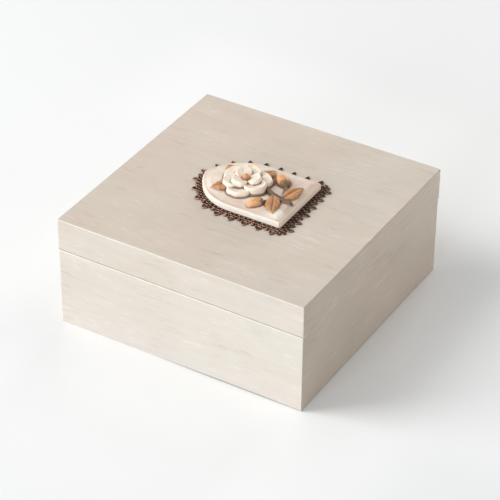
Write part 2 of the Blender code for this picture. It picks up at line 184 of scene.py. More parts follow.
class NodePaint:
    """A node material in the making. Most methods add nodes and return their output socket."""

    def __init__(self, name):
        self.material = bpy.data.materials.new(name)
        self.material.use_nodes = True
        self.tree = self.material.node_tree
        self.tree.nodes.clear()
        self.shader = self.new("BsdfPrincipled", {})
        self.new("OutputMaterial", {"Surface": self.shader.outputs[0]})

    def put(self, node, inputs):
        """Links or sets inputs of a node, each under its name or number."""
        for key, value in inputs.items():
            if isinstance(value, bpy.types.NodeSocket):
                self.tree.links.new(value, node.inputs[key])
            else:
                node.inputs[key].default_value = value

    def new(self, kind, inputs):
        """New node with these inputs."""
        node = self.tree.nodes.new("ShaderNode" + kind)
        self.put(node, inputs)
        return node

    def math(self, operation, value, *others, clamp=False):
        """Takes the values in turn, so that MULTIPLY gives the product of them all."""
        for other in others or (0.0,):
            made = self.new("Math", {0: value, 1: other})
            made.operation = operation
            made.use_clamp = clamp
            value = made.outputs[0]
        return value

    def times(self, *values):
        return self.math("MULTIPLY", *values)

    def plus(self, *values):
        return self.math("ADD", *values)

    def minus(self, *values):
        return self.math("SUBTRACT", *values)

    def absolute(self, value):
        return self.math("ABSOLUTE", value)

    def step(self, value, low, high, to_low=0.0, to_high=1.0):
        """Smooth change from one value to another as the input goes from low to high."""
        ends = {"From Min": low, "From Max": high, "To Min": to_low, "To Max": to_high}
        made = self.new("MapRange", {"Value": value, **ends})
        made.interpolation_type = "SMOOTHSTEP"
        return made.outputs["Result"]

    def zone(self, place, low, high, to_low=0.0, to_high=1.0):
        """The same for a place in metres, with low and high in mm."""
        return self.step(place, low * MM, high * MM, to_low, to_high)

    def mix(self, share, first, second, blend="MIX"):
        """Colours are sockets, sRGB triples from 0 to 255, or four linear values."""
        made = self.new("Mix", {})
        made.data_type = "RGBA"
        made.blend_type = blend
        made.clamp_factor = True
        self.put(made, {"Factor": share, 6: linear(first), 7: linear(second)})
        return made.outputs[2]

    def layers(self, colour, *tints):
        """Lays tints over a colour in turn, each given as its share and its colour."""
        for share, tint in tints:
            colour = self.mix(share, colour, tint)
        return colour

    def place(self):
        return self.new("TexCoord", {}).outputs["Object"]

    def facing(self):
        return self.new("TexCoord", {}).outputs["Normal"]

    def split(self, vector):
        return self.new("SeparateXYZ", {0: vector}).outputs[:]

    def join(self, x, y, z):
        return self.new("CombineXYZ", {0: x, 1: y, 2: z}).outputs[0]

    def noise(self, vector, scale, detail, roughness=0.5, distortion=0.0):
        made = self.new("TexNoise", {"Vector": vector, "Scale": scale, "Detail": detail})
        self.put(made, {"Roughness": roughness, "Distortion": distortion})
        return made.outputs["Fac"]

    def attribute(self, name):
        made = self.new("Attribute", {})
        made.attribute_name = name
        return made.outputs["Fac"]

    def bump(self, height, strength, distance):
        made = self.new("Bump", {"Strength": strength, "Distance": distance, "Height": height})
        self.put(self.shader, {"Normal": made.outputs[0]})

    def finish(self, colour, roughness, **constants):
        self.put(self.shader, {"Base Color": colour, "Roughness": roughness})
        for name, value in constants.items():
            self.shader.inputs[name.replace("_", " ")].default_value = value
        return self.material


def painted_board(name, low, high, seam_z):
    """Brushed taupe paint for the board between these corners, whose edge at the seam is at seam_z.
    The strokes run along X, on the right and left sides along Y. Each face has painted light and
    shade, and its edges a ragged painted highlight in front and painted shade elsewhere."""
    is_lid = name == "box_lid"
    paint = NodePaint("painted_" + name)
    mix, step, zone = paint.mix, paint.step, paint.zone
    times, plus, minus = paint.times, paint.plus, paint.minus
    x, y, z = paint.split(paint.place())
    facing_x, facing_y, facing_z = paint.split(paint.facing())
    on_end = paint.math("GREATER_THAN", paint.absolute(facing_x), 0.7)
    on_flat = paint.math("GREATER_THAN", paint.absolute(facing_z), 0.7)

    def either(choice, no, yes):
        return plus(no, times(choice, minus(yes, no)))

    along = either(on_end, x, y)
    across = either(on_flat, z, y)
    face = plus(times(on_end, 0.37), times(on_flat, 0.71))
    waver = paint.noise(paint.join(along, across, face), 22.0, 2.0)
    across = plus(across, times(minus(waver, 0.5), 0.006))

    def spots(seed, scale, detail, roughness):
        return paint.noise(paint.join(along, across, plus(face, seed)), scale, detail, roughness)

    def strokes(length, width, detail, seed):
        """Noise stretched along the brush, with its length and width in mm."""
        lengthwise = paint.math("DIVIDE", along, length * MM)
        crosswise = paint.math("DIVIDE", across, width * MM)
        return paint.noise(paint.join(lengthwise, crosswise, plus(face, seed)), 1.0, detail, 0.55, 0.35)

    def brush_lines(length, width, seed, spread):
        """Thin wavering lines, which a stretched noise draws where it crosses its middle."""
        middle = minus(strokes(length, width, 1.0, seed), 0.5)
        return step(paint.absolute(middle), spread, 0.35 * spread)

    broad = strokes(42, 3.4, 2.0, 1.0)
    fine = strokes(20, 0.75, 3.0, 5.0)
    hairs = strokes(13, 0.32, 2.0, 9.0)
    patches = spots(0.0, 26.0, 2.0, 0.5)
    mottle = spots(3.0, 95.0, 3.0, 0.6)
    clusters = spots(7.0, 38.0, 2.0, 0.6)
    scratches = times(step(strokes(8, 0.55, 1.0, 13.0), 0.62, 0.70), step(clusters, 0.45, 0.58))
    light_lines = times(brush_lines(28, 1.9, 17.0, 0.036), step(clusters, 0.50, 0.60))
    end_lines = times(brush_lines(60, 1.7, 25.0, 0.020), step(patches, 0.42, 0.56, 0.0, 0.62))
    dark_lines = times(brush_lines(32, 2.3, 21.0, 0.030), step(clusters, 0.50, 0.40))
    colour = paint.layers(
        mix(step(broad, 0.34, 0.68), (213, 201, 187), (216, 205, 192)),
        (step(patches, 0.50, 0.68, 0.0, 0.40), (218, 202, 190)),
        (step(patches, 0.48, 0.32, 0.0, 0.35), (210, 202, 189)),
        (step(mottle, 0.56, 0.74, 0.0, 0.25), (218, 207, 194)),
        (step(fine, 0.62, 0.80, 0.0, 0.30), (226, 216, 204)),
        (step(fine, 0.40, 0.24, 0.0, 0.25), (196, 184, 170)),
        (step(hairs, 0.36, 0.22, 0.0, 0.38), (184, 171, 157)),
        (times(scratches, 0.30), (238, 231, 221)),
        (either(on_end, times(light_lines, 0.24), end_lines), (240, 232, 222)),
        (times(dark_lines, 0.26), (172, 158, 143)),
    )
    half_length = 0.5 * (high.x - low.x)
    drift = step(along, -half_length, half_length)
    on_front = step(facing_y, -0.50, -0.90)
    on_right = step(facing_x, 0.50, 0.90)
    # Painted light and shade: each face's paint is tinted by how the light falls on it, changing along
    # its strokes
    faces = ((on_flat, TOP_PAINTED_SHADING), (on_front, FRONT_PAINTED_SHADING[name]), (on_right, RIGHT_PAINTED_SHADING))
    for share, tints in faces:
        colour = mix(share, colour, mix(drift, *tints), "MULTIPLY")

    # Painted highlight and shade on the edges, by the distance from the nearest edge, which is the
    # middle one of three distances
    from_side = minus(high.x, paint.absolute(x))
    from_front = minus(high.y, paint.absolute(y))
    from_seam = paint.absolute(minus(z, seam_z))
    from_rim = paint.math("MINIMUM", minus(high.z, z), minus(z, low.z), from_seam)
    distances = (from_side, from_front, from_rim)
    nearest = paint.math("MINIMUM", *distances)
    from_edge = minus(plus(*distances), nearest, paint.math("MAXIMUM", *distances))
    ragged = step(mottle, 0.3, 0.7, 0.25 * MM, 1.0 * MM)
    edge_band = minus(1.0, step(from_edge, 0.0, ragged))
    # Painted highlight on edges that face the front and on the right side by the seam; painted shade on
    # the other edges
    to_front = step(facing_y, -0.10, -0.60, 0.0, 0.85)
    to_seam = times(on_right, zone(from_seam, 2.0, 1.2, 0.0, 0.6))
    rub_and_highlight = paint.math("MAXIMUM", to_front, to_seam)
    painted_edge_shade = paint.math("SUBTRACT", 1.0, rub_and_highlight, clamp=True)
    # Along the seam in front: painted shade on the lid's lower edge, painted highlight on the base's
    # top edge
    at_lip = times(zone(from_seam, 0.85, 0.45), on_front)
    colour = paint.layers(
        colour,
        (times(edge_band, rub_and_highlight), (242, 234, 223)),
        (times(edge_band, painted_edge_shade, 0.45), (160, 146, 130)),
        (times(at_lip, 0.54), (128, 114, 98) if is_lid else (255, 251, 243)),
    )
    if not is_lid:
        # Painted light low on the base's front, stronger towards its left
        painted_light_low = mix(zone(x, -40, -66), (1.01, 1.01, 1.05, 1.0), (1.085, 1.085, 1.105, 1.0))
        colour = mix(times(zone(z, 24, 5), on_front), colour, painted_light_low, "MULTIPLY")
        # Painted contact shadow along the base's foot, on the right side and in front
        in_front = times(on_front, zone(x, -20, 25, 0.0, 0.85), zone(x, 45, 66, 1.0, 0.45))
        painted_contact_shadow = times(paint.math("MAXIMUM", times(on_right, 0.5), in_front), zone(z, 1.0, 0.4))
        colour = mix(painted_contact_shadow, colour, (112, 100, 86))

    relief = plus(times(fine, 0.5), times(hairs, 0.3))
    relief = minus(relief, times(scratches, 0.5), times(dark_lines, 0.5))
    paint.bump(relief, 0.45, 0.14 * MM)
    roughness = step(fine, 0.25, 0.75, 0.42, 0.30)
    return paint.finish(colour, roughness, Coat_Weight=0.10, Coat_Roughness=0.2)


def dark_bronze():
    """Dark brown patina, rubbed to rose-brown on top of the strands; on their front the rose-brown
    is a painted highlight, fainter at the plaque's foot as painted shade.
    """
    paint = NodePaint("dark_bronze")
    mix, step, times, plus = paint.mix, paint.step, paint.times, paint.plus
    facing_x, facing_y, facing_z = paint.split(paint.facing())
    place = paint.place()
    x, _, z = paint.split(place)
    blotches = paint.noise(place, 420.0, 3.0, 0.6)
    grain = paint.noise(place, 2600.0, 2.0, 0.6)
    picot = paint.attribute("picot")
    uneven = times(paint.minus(blotches, 0.5), 0.9)
    # Painted highlight: the rose-brown is laid more on strand sides that face the front
    sideways = plus(times(facing_y, -0.74), times(facing_x, -0.05))
    rub_and_highlight = plus(times(facing_z, 0.54), uneven, sideways, times(picot, 0.10))
    raised = step(z, BACKING_Z + 0.1 * MM, STRAND_MIDDLE_Z)
    # Painted shade: less rose-brown towards the plaque's foot, from x = 26 mm on
    rub_and_highlight = times(step(rub_and_highlight, 0.48, 1.00), raised, paint.zone(x, 26, 33, 1.0, 0.55))
    colour = paint.layers(
        mix(blotches, (33, 16, 8), (60, 33, 19)),
        (picot, (52, 38, 26)),
        (rub_and_highlight, mix(picot, (207, 159, 134), (193, 158, 138))),
        (step(grain, 0.60, 0.80, 0.0, 0.25), (104, 74, 58)),
    )
    paint.bump(grain, 0.35, 0.06 * MM)
    roughness = step(rub_and_highlight, 0.0, 1.0, 0.66, 0.42)
    return paint.finish(colour, roughness, Metallic=0.25, Specular_IOR_Level=0.25)


def painted_cast():
    """Cream cast with brown and tan painted forms and an antique wash in its hollows. Its ground and
    walls carry painted light and shade.
    """
    paint = NodePaint("cast_stone")
    mix, step, zone, times = paint.mix, paint.step, paint.zone, paint.times
    place = paint.place()
    x, y, z = paint.split(place)
    facing_foot = paint.split(paint.facing())[0]
    patches = paint.noise(place, 85.0, 2.0, 0.5)
    veil = paint.noise(place, 210.0, 3.0, 0.6)
    speck = paint.noise(place, 900.0, 3.0, 0.65)
    share = paint.attribute("share")

    # Painted shade on the ground towards the foot, along its front and on the foot strip, and a painted
    # highlight on the ground by the foot's front corner
    shaded = times(zone(x, 4, 24), zone(y, -18, 2))
    in_front = times(zone(y, -14, -17), zone(x, 20, 14))
    at_corner = times(zone(y, -11, -14), zone(x, 18, 22), zone(y, -19.2, -17.8), zone(x, 26.0, 25.2))
    on_strip = times(zone(x, 25.2, 25.8), zone(y, -20, -9))
    # Painted light on walls that face the foot, painted shade on their rounded shoulder, and a painted
    # warm light on the lowest band of the walls, next to the lace
    on_round = times(step(facing_foot, 0.95, 0.75), step(facing_foot, 0.10, 0.35))
    lowest = step(z, PLAQUE_BOTTOM + 0.9 * MM, PLAQUE_BOTTOM + 0.2 * MM, 0.0, 0.6)
    wall = paint.layers(
        mix(step(facing_foot, 0.35, 0.75), (244, 237, 225), (252, 234, 216)),
        (times(on_round, 0.55), (206, 182, 164)),
        (lowest, (255, 222, 194)),
    )
    ground = paint.layers(
        mix(step(patches, 0.40, 0.60), (226, 212, 196), (236, 224, 209)),
        (step(veil, 0.50, 0.66, 0.0, 0.65), (234, 208, 198)),
        (step(patches, 0.46, 0.32, 0.0, 0.55), (206, 190, 170)),
        (times(shaded, 0.56), (212, 186, 171)),
        (times(in_front, 0.60), (214, 190, 174)),
        (times(at_corner, 0.70), (248, 238, 228)),
        (times(on_strip, 0.50), (206, 182, 166)),
        (paint.attribute("wall"), wall),
    )
    petal = paint.layers(
        mix(step(veil, 0.35, 0.65), (238, 223, 206), (248, 236, 221)),
        (step(share, 0.52, 0.02, 0.0, 0.85), (224, 170, 130)),
        (step(share, 0.80, 1.02, 0.0, 0.25), (236, 205, 190)),
    )
    leaf = mix(step(veil, 0.35, 0.65), (186, 132, 89), (210, 156, 110))
    leaf = mix(step(share, 0.30, 1.0, 0.0, 0.40), leaf, (164, 134, 100))
    bud = mix(step(share, 0.15, 0.95), (206, 146, 98), (226, 172, 126))
    bud = mix(step(veil, 0.50, 0.70, 0.0, 0.40), bud, (226, 180, 142))
    bract = mix(veil, (112, 88, 66), (140, 108, 78))
    twig = mix(veil, (92, 74, 58), (122, 100, 78))
    cone = mix(step(veil, 0.4, 0.6), (186, 122, 78), (208, 150, 104))
    forms = zip(FORM_NAMES[1:], (twig, leaf, bud, bract, petal, cone))
    colour = paint.layers(ground, *((paint.attribute(name), own) for name, own in forms))

    uneven = times(paint.minus(veil, 0.5), 0.25)
    wash = step(paint.plus(paint.attribute("hollow"), uneven), 0.20, 0.98, 0.0, 0.72)
    colour = mix(wash, colour, (128, 88, 54), "MULTIPLY")
    colour = mix(times(wash, 0.55), colour, (110, 74, 46))
    rub = step(paint.attribute("crest"), 0.25, 0.9, 0.0, 0.45)
    colour = mix(rub, colour, (246, 236, 220), "SOFT_LIGHT")
    colour = mix(step(speck, 0.62, 0.80, 0.0, 0.22), colour, (196, 170, 142))
    paint.bump(paint.plus(times(speck, 0.6), times(veil, 0.4)), 0.22, 0.10 * MM)
    roughness = step(speck, 0.3, 0.7, 0.62, 0.48)
    return paint.finish(
        colour,
        roughness,
        Specular_IOR_Level=0.35,
        Subsurface_Weight=0.45,
        Subsurface_Radius=(1.0, 0.62, 0.42),
        Subsurface_Scale=1.3 * MM,
    )


def pale_floor():
    """Pale floor whose faint tones, painted shade beside the box and to its right and painted light
    in front of and behind it, even out the lamps' light round the box.
    """
    paint = NodePaint("pale_floor")
    zone, times = paint.zone, paint.times
    place = paint.place()
    x, y, _ = paint.split(place)
    cloud = paint.noise(place, 5.0, 2.0, 0.5)
    from_middle = paint.math("MAXIMUM", paint.absolute(x), paint.absolute(y))
    # Painted shade beside the box and to its right, painted light in front of it and behind it
    beside = times(zone(from_middle, 120, 80), zone(paint.plus(x, y), 0, -60))
    at_right = times(zone(x, 110, 150), zone(y, -40, -80))
    in_front = times(zone(y, -110, -160), zone(x, 130, 70))
    behind = times(zone(y, 90, 130), zone(y, 240, 190), zone(x, -190, -130), zone(x, 45, 5))
    colour = paint.layers(
        paint.mix(cloud, (242, 243, 243), (245, 246, 245)),
        (paint.math("MAXIMUM", beside, at_right), (239, 240, 240)),
        (paint.math("MAXIMUM", in_front, behind), (248, 249, 248)),
    )
    return paint.finish(colour, 0.30)


def smooth_step(x):
    x = np.clip(x, 0, 1)
    return x * x * (3 - 2 * x)


def between(grid, i, j, across, up):
    """Value between four neighbours of a grid, from the one at i and j on."""
    lower = grid[i, j] * (1 - across) + grid[i + 1, j] * across
    upper = grid[i, j + 1] * (1 - across) + grid[i + 1, j + 1] * across
    return lower * (1 - up) + upper * up


def value_noise(x, y, seed):
    """Smooth noise from -1 to 1 with one random value per unit square."""
    lattice = np.random.default_rng(seed).uniform(-1, 1, (LATTICE, LATTICE))
    lattice = np.pad(lattice, (0, 1), mode="wrap")
    column = np.floor(x).astype(int)
    row = np.floor(y).astype(int)
    across = smooth_step(x - column)
    up = smooth_step(y - row)
    return between(lattice, column % LATTICE, row % LATTICE, across, up)


def edge_drop(distance, rounding):
    """How far a form lies below its top face at this distance inside its outline."""
    share = np.clip(distance / rounding, 0, 1)
    shoulder = rounding * (1 - np.sqrt(1 - (1 - share) ** 2))
    return shoulder + FLANK_SLOPE * np.clip(-distance, 0, None)


def along_and_across(u, v, start, degrees):
    """Offsets from the start along this direction and to the left of it."""
    angle = math.radians(degrees)
    du = u - start[0]
    dv = v - start[1]
    along = du * math.cos(angle) + dv * math.sin(angle)
    across = dv * math.cos(angle) - du * math.sin(angle)
    return along, across


def egg_norm(along, across, length, width, widest, root_power, tip_power):
    """0 at an egg's middle and 1 on its outline, which runs from 0 to its length."""
    from_widest = along - widest * length
    half_length = np.where(from_widest > 0, 1 - widest, widest) * length
    power = np.where(from_widest > 0, tip_power, root_power)
    lengthwise = np.abs(from_widest / half_length) ** power
    crosswise = np.abs(across / (width / 2)) ** 2
    return np.sqrt(lengthwise + crosswise)


def egg_distance(along, across, length, width, *bends):
    """Signed distance inside the egg's outline, to first order, and the egg's norm."""
    shape = (length, width, *bends)
    step = 1e-3
    norm = egg_norm(along, across, *shape)
    slope_along = (egg_norm(along + step, across, *shape) - norm) / step
    slope_across = (egg_norm(along, across + step, *shape) - norm) / step
    slope = np.maximum(np.hypot(slope_along, slope_across), 0.25 / width)
    return (1 - norm) / slope, norm


def petal(u, v, degrees, length, width, heights, dish, twist):
    """Spoon-shaped petal from the bloom's heart, with fanned veins and a slightly wavy rim."""
    along, across = along_and_across(u, v, HEART, degrees)
    share = np.clip(along / length, 0, 1)
    across = across - twist * length * share**2
    turn = np.arctan2(across, along - 0.45 * length)
    wave = 0.018 * np.sin(5 * turn + degrees) + 0.012 * np.sin(9 * turn + 2 * degrees)
    distance, norm = egg_distance(along, across, length, width, 0.6, 1.9, 1.8)
    distance = distance + 0.5 * width * wave * smooth_step(share / 0.6)
    root, middle, tip = heights
    z = (1 - share) ** 2 * root + 2 * share * (1 - share) * middle + share**2 * tip
    z = z + dish * np.clip(norm, 0, 1) ** 3 * smooth_step(share / 0.5)
    fan = np.arctan2(across, along + 0.35 * length)
    inner = smooth_step((1 - norm) / 0.3) * smooth_step(share / 0.25)
    z = z + 0.045 * np.cos(fan * 46 + 0.6 * np.sin(along)) * inner
    z = z - 0.16 * np.exp(-((across / 0.42) ** 2)) * inner
    z = z + 0.10 * value_noise(along * 0.45 + degrees, across * 0.45 + 7, 3) * smooth_step(share / 0.4)
    z = z - edge_drop(distance, 0.42)
    return z, share


def leaf(u, v, start, degrees, length, width, bend, heights):
    """Pointed leaf with a sunk midrib, arched blade halves and side veins."""
    along, across = along_and_across(u, v, start, degrees)
    share = np.clip(along / length, 0, 1)
    across = across - bend * length * np.sin(math.pi / 2 * share) ** 2
    half = width / 2 * np.sin(math.pi * share**0.85)
    half = half * (1 + 0.05 * np.sin(along * 2.1 + degrees))
    distance = 0.85 * (half - np.abs(across))
    distance = np.where(along < 0, -np.hypot(along, across), distance)
    distance = np.where(along > length, -np.hypot(along - length, across), distance)
    side_share = np.clip(np.abs(across) / np.maximum(half, 1e-3), 0, 1)
    root, middle, tip = heights
    end = np.where(share < 0.5, root, tip)
    z = end + (middle - end) * np.sin(math.pi * share)
    z = z + 0.75 * np.sin(math.pi * side_share**0.8) * half / (width / 2)
    phase = 2 * math.pi * (along - 0.75 * np.abs(across)) / 1.9
    vein = np.clip(np.cos(phase), 0, 1) ** 4
    vein = vein * smooth_step(side_share / 0.2) * smooth_step((1 - side_share) / 0.3)
    z = z - 0.16 * vein
    z = z - 0.22 * np.exp(-((across / 0.22) ** 2)) * smooth_step((1 - share) / 0.2)
    z = z - edge_drop(distance, 0.35)
    return z, share


def bud_shape(u, v, start, degrees, length, width, height):
    """Egg-shaped bud whose wrapped petals meet in a slanting seam."""
    along, across = along_and_across(u, v, start, degrees)
    distance, norm = egg_distance(along, across, length, width, 0.4, 2.1, 1.75)
    z = 0.2 + height * np.sqrt(1 - np.clip(norm, 0, 1) ** 2)
    share = np.clip(along / length, 0, 1)
    seam = across - width * (0.30 - 0.75 * share) * np.sin(math.pi * share)
    z = z - 0.30 * np.exp(-((seam / 0.30) ** 2)) * smooth_step((1 - norm) / 0.25)
    second = across + width * (0.42 - 0.55 * share)
    z = z - 0.20 * np.exp(-((second / 0.24) ** 2)) * smooth_step((1 - norm) / 0.25)
    z = z + 0.05 * value_noise(along * 0.9, across * 4.0, 11)
    return z - FLANK_SLOPE * np.clip(-distance, 0, None), share


def bract(u, v, start, degrees, length, width, height):
    """Low scale at a bud's foot, with a ridge along its middle."""
    along, across = along_and_across(u, v, start, degrees)
    distance, norm = egg_distance(along, across, 0.5 * length, 0.5 * width, 0.35, 2.0, 1.5)
    z = 0.3 + 0.82 * height * np.sqrt(1 - 0.75 * np.clip(norm, 0, 1) ** 2)
    z = z + 0.14 * np.exp(-((across / 0.3) ** 2)) + 0.06 * value_noise(along * 1.2, across * 5, 17)
    return z - edge_drop(distance, 0.35), np.clip(along / (0.5 * length), 0, 1)


def twig(u, v, start, pull, end, thickness, lift):
    """Round twig along a quadratic curve from start to end, with bark ridges and leaf scars."""
    share = np.linspace(0, 1, 25)[:, None]
    curve = (1 - share) ** 2 * np.array(start)
    curve = curve + 2 * share * (1 - share) * np.array(pull) + share**2 * np.array(end)
    distance = np.full(np.shape(u), np.inf)
    travel = np.zeros(np.shape(u))
    passed = 0.0
    for a, b in zip(curve[:-1], curve[1:]):
        run = b - a
        length = math.hypot(*run)
        near = np.clip(((u - a[0]) * run[0] + (v - a[1]) * run[1]) / length**2, 0, 1)
        gap = np.hypot(u - a[0] - near * run[0], v - a[1] - near * run[1])
        travel = np.where(gap < distance, passed + near * length, travel)
        distance = np.minimum(distance, gap)
        passed += length
    radius = thickness / 2
    crown = np.sqrt(np.clip(radius**2 - distance**2, 0, None))
    scar = np.exp(-(((travel % 3.7) - 1.6) ** 2) / 0.03)
    bark = 0.10 * value_noise(travel * 0.8, distance * 5 + 3, 23) + 0.12 * scar
    z = lift + crown + bark * np.clip(crown / radius * 2, 0, 1)
    return z - FLANK_SLOPE * np.clip(distance - radius, 0, None), travel / passed


def cone(u, v, radius, foot, height):
    """Domed seed cone with spiralling bumps."""
    du = u - HEART[0]
    dv = v - HEART[1]
    distance = np.hypot(du, dv)
    dome = height * np.sqrt(np.clip(1 - (distance / radius) ** 2, 0, None))
    turn = np.arctan2(dv, du)
    bumps = np.cos(5 * turn + 5.5 * distance) * np.cos(5 * turn - 5.5 * distance)
    z = foot + dome + 0.16 * bumps * smooth_step(distance / 0.5)
    z = z - FLANK_SLOPE * np.clip(distance - radius, 0, None)
    return z, np.clip(1 - distance / radius, 0, 1)


def spray_forms(u, v):
    """Every form of the spray as its kind, its height and how far along it each point is."""
    twigs = (
        ((-24.2, -4.6), (-18.0, -5.4), (-8.0, 0.0), 2.5, 0.5),
        ((-19.5, -4.9), (-17.5, 3.0), (-14.5, 7.6), 1.7, 0.5),
        ((-15.0, -4.0), (-15.0, -8.0), (-12.2, -11.0), 1.7, 0.5),
    )
    leaves = (
        ((-18.5, -4.4), 116, 15.6, 7.0, -0.16, (0.6, 1.2, 0.5)),
        ((-13.2, -3.0), -128, 15.8, 7.2, 0.14, (0.7, 1.3, 0.6)),
        ((7.0, 1.5), 24, 15.4, 8.0, 0.10, (0.4, 1.2, 0.6)),
        ((7.0, -3.0), -38, 13.8, 7.8, -0.10, (0.4, 1.2, 0.6)),
        ((0.5, 4.0), 102, 13.6, 7.2, 0.10, (0.4, 1.2, 0.6)),
    )
    forms = [("twig", *twig(u, v, *shape)) for shape in twigs]
    forms += [("leaf", *leaf(u, v, *shape)) for shape in leaves]
    buds = (
        ((-14.9, 7.0), 42, (10.6, 6.2, 3.5)),
        ((-12.6, -10.6), -46, (9.0, 5.4, 3.0)),
    )
    for at, degrees, size in buds:
        forms.append(("bud", *bud_shape(u, v, at, degrees, *size)))
        for side in (-24, 24):
            forms.append(("bract", *bract(u, v, at, degrees + side, *size)))
    for turn, length in zip((18, 138, 262), (13.4, 12.8, 13.0)):
        forms.append(("petal", *petal(u, v, turn, length, 12.2, (2.0, 1.9, 1.9), 0.9, 0.05)))
    for turn, length in zip((78, 202, 322), (11.6, 12.0, 11.2)):
        forms.append(("petal", *petal(u, v, turn, length, 10.8, (2.4, 2.7, 3.1), 1.0, -0.05)))
    for turn, length in zip((44, 164, 284), (7.8, 7.4, 7.9)):
        forms.append(("petal", *petal(u, v, turn, length, 7.8, (2.6, 3.9, 5.2), 0.6, 0.06)))
    forms.append(("cone", *cone(u, v, 1.9, 3.0, 2.7)))
    return forms


def carving(u, v):
    """Height of the relief in carving units, the weight of each kind of form, and the share."""
    ground = 0.30 * value_noise(u / 8 + 9, v / 8 + 9, 5)
    ground = ground + 0.13 * value_noise(u / 3.4 + 5, v / 3.4, 6)
    ground = ground + 0.04 * value_noise(u / 1.5 + 5, v / 1.5 + 20, 8) - 0.06
    highest = {name: np.full(np.shape(u), -99.0) for name in FORM_NAMES}
    shares = {name: np.zeros(np.shape(u)) for name in FORM_NAMES}
    highest["ground"] = ground
    for name, z, share in spray_forms(u, v):
        shares[name] = np.where(z > highest[name], share, shares[name])
        highest[name] = np.maximum(z, highest[name])
    heights = np.array([highest[name] for name in FORM_NAMES])
    top = heights.max(axis=0)
    weights = np.exp(np.clip((heights - top) / FORM_BLEND, -30, 0))
    weights /= weights.sum(axis=0)
    share = sum(weights[k] * shares[name] for k, name in enumerate(FORM_NAMES))
    return top, dict(zip(FORM_NAMES, weights)), share


def arch_sizes():
    """Radius of the plaque's side arcs, and the x where they start."""
    half_turn = math.atan2(PLAQUE_WIDTH / 2, PLAQUE_ARCH_LENGTH)
    radius = PLAQUE_ARCH_LENGTH / math.sin(2 * half_turn)
    spring_x = PLAQUE_CENTRE_X - PLAQUE_LENGTH / 2 + PLAQUE_ARCH_LENGTH
    return radius, spring_x


def arch_columns(inset, groove=0.0):
    """x and half width of the plaque at each grid column, from its foot to its point. A groove is
    sunk into the foot only."""
    radius, spring_x = arch_sizes()
    half_width = PLAQUE_WIDTH / 2
    corner_x = PLAQUE_CENTRE_X + PLAQUE_LENGTH / 2 - PLAQUE_CORNER_ROUND
    corner_radius = PLAQUE_CORNER_ROUND - inset
    corner = np.linspace(0, math.pi / 2, CORNER_COLUMNS, endpoint=False)
    straight_count = round((corner_x - spring_x) / GRID_STEP)
    straight = np.linspace(corner_x, spring_x, straight_count, endpoint=False)
    rise = radius - half_width
    arc = np.linspace(0, math.acos(rise / (radius - inset)), ARC_COLUMNS)
    x = [corner_x + corner_radius * np.cos(corner), straight, spring_x - (radius - inset) * np.sin(arc)]
    half = [half_width - PLAQUE_CORNER_ROUND + corner_radius * np.sin(corner)]
    half.append(np.full(straight_count, half_width - inset))
    half.append(np.clip((radius - inset) * np.cos(arc) - rise, 0, None))
    x = np.concatenate(x)
    x -= groove * smooth_step((x - corner_x) / PLAQUE_CORNER_ROUND)
    return x, np.concatenate(half)


def rim_loop(inset, groove, across):
    """Points round the plaque at this inset, from its foot by its -Y side to its point and back."""
    x, half = arch_columns(inset, groove)
    points = [np.column_stack([np.full(len(across), x[0]), half[0] * across[::-1]])]
    points.append(np.column_stack([x[1:-1], -half[1:-1]]))
    points.append(np.array([[x[-1], 0.0]]))
    points.append(np.column_stack([x[-2:0:-1], half[-2:0:-1]]))
    return np.concatenate(points)


def gaussian_blur(field, sigma):
    reach = int(3 * sigma) + 1
    kernel = np.exp(-0.5 * (np.arange(-reach, reach + 1) / sigma) ** 2)
    kernel /= kernel.sum()
    for axis in (0, 1):
        pad = [(reach, reach) if k == axis else (0, 0) for k in (0, 1)]
        padded = np.pad(field, pad, mode="edge")
        field = np.apply_along_axis(lambda line: np.convolve(line, kernel, "valid"), axis, padded)
    return field


def hollow_and_crest(u, v):
    """How sunk, and how raised, each point is against its surroundings, both from 0 to 1."""
    step = 0.25
    narrow = 0.55 / step
    wide = 1.7 / step
    full_depth = 0.9
    grid_u = np.arange(-30, 30, step)
    grid_v = np.arange(-22, 22, step)
    field = carving(*np.meshgrid(grid_u, grid_v, indexing="ij"))[0]
    field = np.clip(field, 0, None)
    sunk = gaussian_blur(field, narrow) - field + 0.5 * (gaussian_blur(field, wide) - field)
    i = np.clip((u - grid_u[0]) / step, 0, len(grid_u) - 1.001)
    j = np.clip((v - grid_v[0]) / step, 0, len(grid_v) - 1.001)
    i0 = i.astype(int)
    j0 = j.astype(int)
    value = between(sunk, i0, j0, i - i0, j - j0)
    return np.clip(value / full_depth, 0, 1), np.clip(-value / full_depth, 0, 1)


def room_on_top(x, y):
    """Distance inside the shoulder of the plaque's rounded edge, at its foot and at the nearest
    edge of all."""
    radius, spring_x = arch_sizes()
    from_foot = PLAQUE_CENTRE_X + PLAQUE_LENGTH / 2 - x
    from_side = PLAQUE_WIDTH / 2 - np.abs(y)
    from_arc = radius - np.hypot(x - spring_x, np.abs(y) + radius - PLAQUE_WIDTH / 2)
    nearest = np.minimum(from_foot, np.where(x < spring_x, from_arc, from_side))
    return from_foot - PLAQUE_EDGE_ROUND, nearest - PLAQUE_EDGE_ROUND


def ground_height(x, y):
    """Height of the plaque's ground above its shoulder: it swells towards the middle, and a sunk
    strip with a groove runs along the foot."""
    at_foot, room = room_on_top(x, y)
    swell = PLAQUE_SWELL * smooth_step(room / PLAQUE_SWELL_REACH)
    strip = FOOT_STRIP_DROP * (1 - smooth_step((at_foot - FOOT_STRIP) / (0.4 * MM)))
    groove = FOOT_GROOVE * np.exp(-(((at_foot - FOOT_GROOVE_PLACE) / FOOT_GROOVE_WIDTH) ** 2))
    return swell - (strip + groove) * smooth_step(room / (0.3 * MM))


